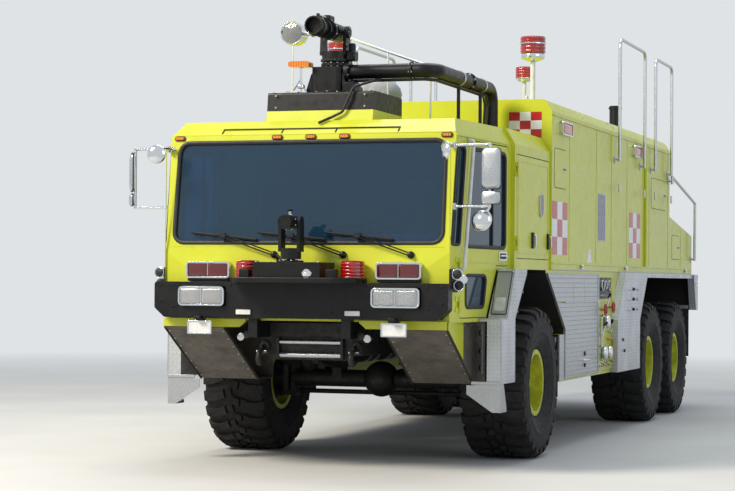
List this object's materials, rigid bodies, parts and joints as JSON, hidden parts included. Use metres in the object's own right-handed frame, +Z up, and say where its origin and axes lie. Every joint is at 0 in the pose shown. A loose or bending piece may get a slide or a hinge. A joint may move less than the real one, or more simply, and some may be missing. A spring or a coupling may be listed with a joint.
{
  "type": "airport fire truck",
  "caption": "Lime-yellow airport crash tender on large single tyres, with cab, tank body, roof and bumper turrets, opening doors and steered front wheels.",
  "frame": {"origin": "on the ground below the middle of the vehicle's length and width", "axes": "front faces -Y, the vehicle's left side faces +X, +Z is up"},
  "size_m": [3.3646, 11.01, 4.218],
  "materials": {
    "paint": "gloss lime-yellow enamel",
    "plate": "satin tread plate",
    "chassis": "satin chassis paint",
    "black": "satin black powder coat",
    "glass": "tinted safety glass",
    "tyre": "dull black rubber",
    "rubber": "black sheet rubber",
    "chrome": "polished",
    "red_lens": "clear red lens",
    "trim": "grained black"
  },
  "bodies": {
    "chassis": {"frame_rails": "chassis", "front_axle": "chassis", "mid_axle": "chassis", "rear_axle": "chassis", "springs": "chassis", "drivetrain": "chassis", "engine_block": "chassis", "cab_shell": "paint", "windshield": "glass", "side_glass": "glass", "dashboard": "trim", "seats": "trim", "front_bumper": "black", "front_lamps": "chrome", "tow_gear": "chassis", "approach_plates": "chassis", "fender_boxes": "plate", "entry_steps": "plate", "locker_body": "paint", "tank_body": "paint", "low_boxes": "paint", "roof_plinth": "paint", "turret_base": "black", "side_shutters": "plate", "pump_panels": "paint", "mud_flaps": "rubber", "handrails": "chrome", "roof_beacons": "red_lens", "supply_pipe": "black", "mirrors": "chrome", "rear_fittings": "black", "tail_lamps": "red_lens", "tank_hatches": "paint", "vent_stack": "black"},
    "wheel_front_left": {"rim_front_left": "paint", "tyre_front_left": "tyre"},
    "wheel_front_right": {"rim_front_right": "paint", "tyre_front_right": "tyre"},
    "wheel_mid_left": {"rim_mid_left": "paint", "tyre_mid_left": "tyre"},
    "wheel_mid_right": {"rim_mid_right": "paint", "tyre_mid_right": "tyre"},
    "wheel_rear_left": {"rim_rear_left": "paint", "tyre_rear_left": "tyre"},
    "wheel_rear_right": {"rim_rear_right": "paint", "tyre_rear_right": "tyre"},
    "steer_left": {"knuckle_left": "chassis"},
    "steer_right": {"knuckle_right": "chassis"},
    "track_rod": {"tie_rod": "chassis"},
    "cab_door_left": {"door_left": "paint", "door_glass_left": "glass"},
    "cab_door_right": {"door_right": "paint", "door_glass_right": "glass"},
    "locker_door_left": {"locker_left": "paint"},
    "locker_door_right": {"locker_right": "paint"},
    "roof_head": {"roof_turret": "black"},
    "roof_barrel": {"roof_nozzle": "black", "spotlight": "chrome"},
    "bumper_head": {"bumper_turret": "black"},
    "bumper_barrel": {"bumper_nozzle": "black"}
  },
  "joints": [
    {"name": "spin_front_left", "type": "hinge", "parent": "steer_left", "child": "wheel_front_left", "pos_m": [1.225, -2.945, 0.68], "axis": [1, 0, 0], "continuous": true},
    {"name": "spin_front_right", "type": "hinge", "parent": "steer_right", "child": "wheel_front_right", "pos_m": [-1.225, -2.945, 0.68], "axis": [1, 0, 0], "continuous": true},
    {"name": "spin_mid_left", "type": "hinge", "parent": "chassis", "child": "wheel_mid_left", "pos_m": [1.225, 2.425, 0.68], "axis": [1, 0, 0], "continuous": true},
    {"name": "spin_mid_right", "type": "hinge", "parent": "chassis", "child": "wheel_mid_right", "pos_m": [-1.225, 2.425, 0.68], "axis": [1, 0, 0], "continuous": true},
    {"name": "spin_rear_left", "type": "hinge", "parent": "chassis", "child": "wheel_rear_left", "pos_m": [1.225, 4.075, 0.68], "axis": [1, 0, 0], "continuous": true},
    {"name": "spin_rear_right", "type": "hinge", "parent": "chassis", "child": "wheel_rear_right", "pos_m": [-1.225, 4.075, 0.68], "axis": [1, 0, 0], "continuous": true},
    {"name": "steering_left", "type": "hinge", "parent": "chassis", "child": "steer_left", "pos_m": [0.95, -2.945, 0.68], "axis": [0, 0, 1], "range_deg": [-28, 28]},
    {"name": "steering_right", "type": "hinge", "parent": "chassis", "child": "steer_right", "pos_m": [-0.95, -2.945, 0.68], "axis": [0, 0, 1], "range_deg": [-28, 28]},
    {"name": "track_rod_pivot", "type": "hinge", "parent": "steer_left", "child": "track_rod", "pos_m": [0.95, -2.775, 0.546], "axis": [0, 0, 1], "range_deg": [-28, 28]},
    {"name": "cab_door_left", "type": "hinge", "parent": "chassis", "child": "cab_door_left", "pos_m": [1.28854, -4.83516, 1.56], "axis": [0, 0, -1], "range_deg": [0, 70]},
    {"name": "locker_door_left", "type": "hinge", "parent": "chassis", "child": "locker_door_left", "pos_m": [1.438, -3.529, 2.255], "axis": [0, 0, -1], "range_deg": [0, 90]},
    {"name": "cab_door_right", "type": "hinge", "parent": "chassis", "child": "cab_door_right", "pos_m": [-1.28854, -4.83516, 1.56], "axis": [0, 0, 1], "range_deg": [0, 70]},
    {"name": "locker_door_right", "type": "hinge", "parent": "chassis", "child": "locker_door_right", "pos_m": [-1.438, -3.529, 2.255], "axis": [0, 0, 1], "range_deg": [0, 90]},
    {"name": "roof_turret_yaw", "type": "hinge", "parent": "chassis", "child": "roof_head", "pos_m": [0, -4.305, 3.5], "axis": [0, 0, 1], "range_deg": [-135, 135]},
    {"name": "roof_turret_pitch", "type": "hinge", "parent": "roof_head", "child": "roof_barrel", "pos_m": [0, -4.305, 3.735], "axis": [-1, 0, 0], "range_deg": [-15, 70]},
    {"name": "bumper_turret_yaw", "type": "hinge", "parent": "chassis", "child": "bumper_head", "pos_m": [0, -5.345, 1.8], "axis": [0, 0, 1], "range_deg": [-60, 60]},
    {"name": "bumper_turret_pitch", "type": "hinge", "parent": "bumper_head", "child": "bumper_barrel", "pos_m": [0, -5.345, 2.06], "axis": [-1, 0, 0], "range_deg": [-20, 45]}
  ],
  "couplings": [
    {"joint": "steering_right", "follows": "steering_left", "ratio": 1},
    {"joint": "track_rod_pivot", "follows": "steering_left", "ratio": -1}
  ]
}
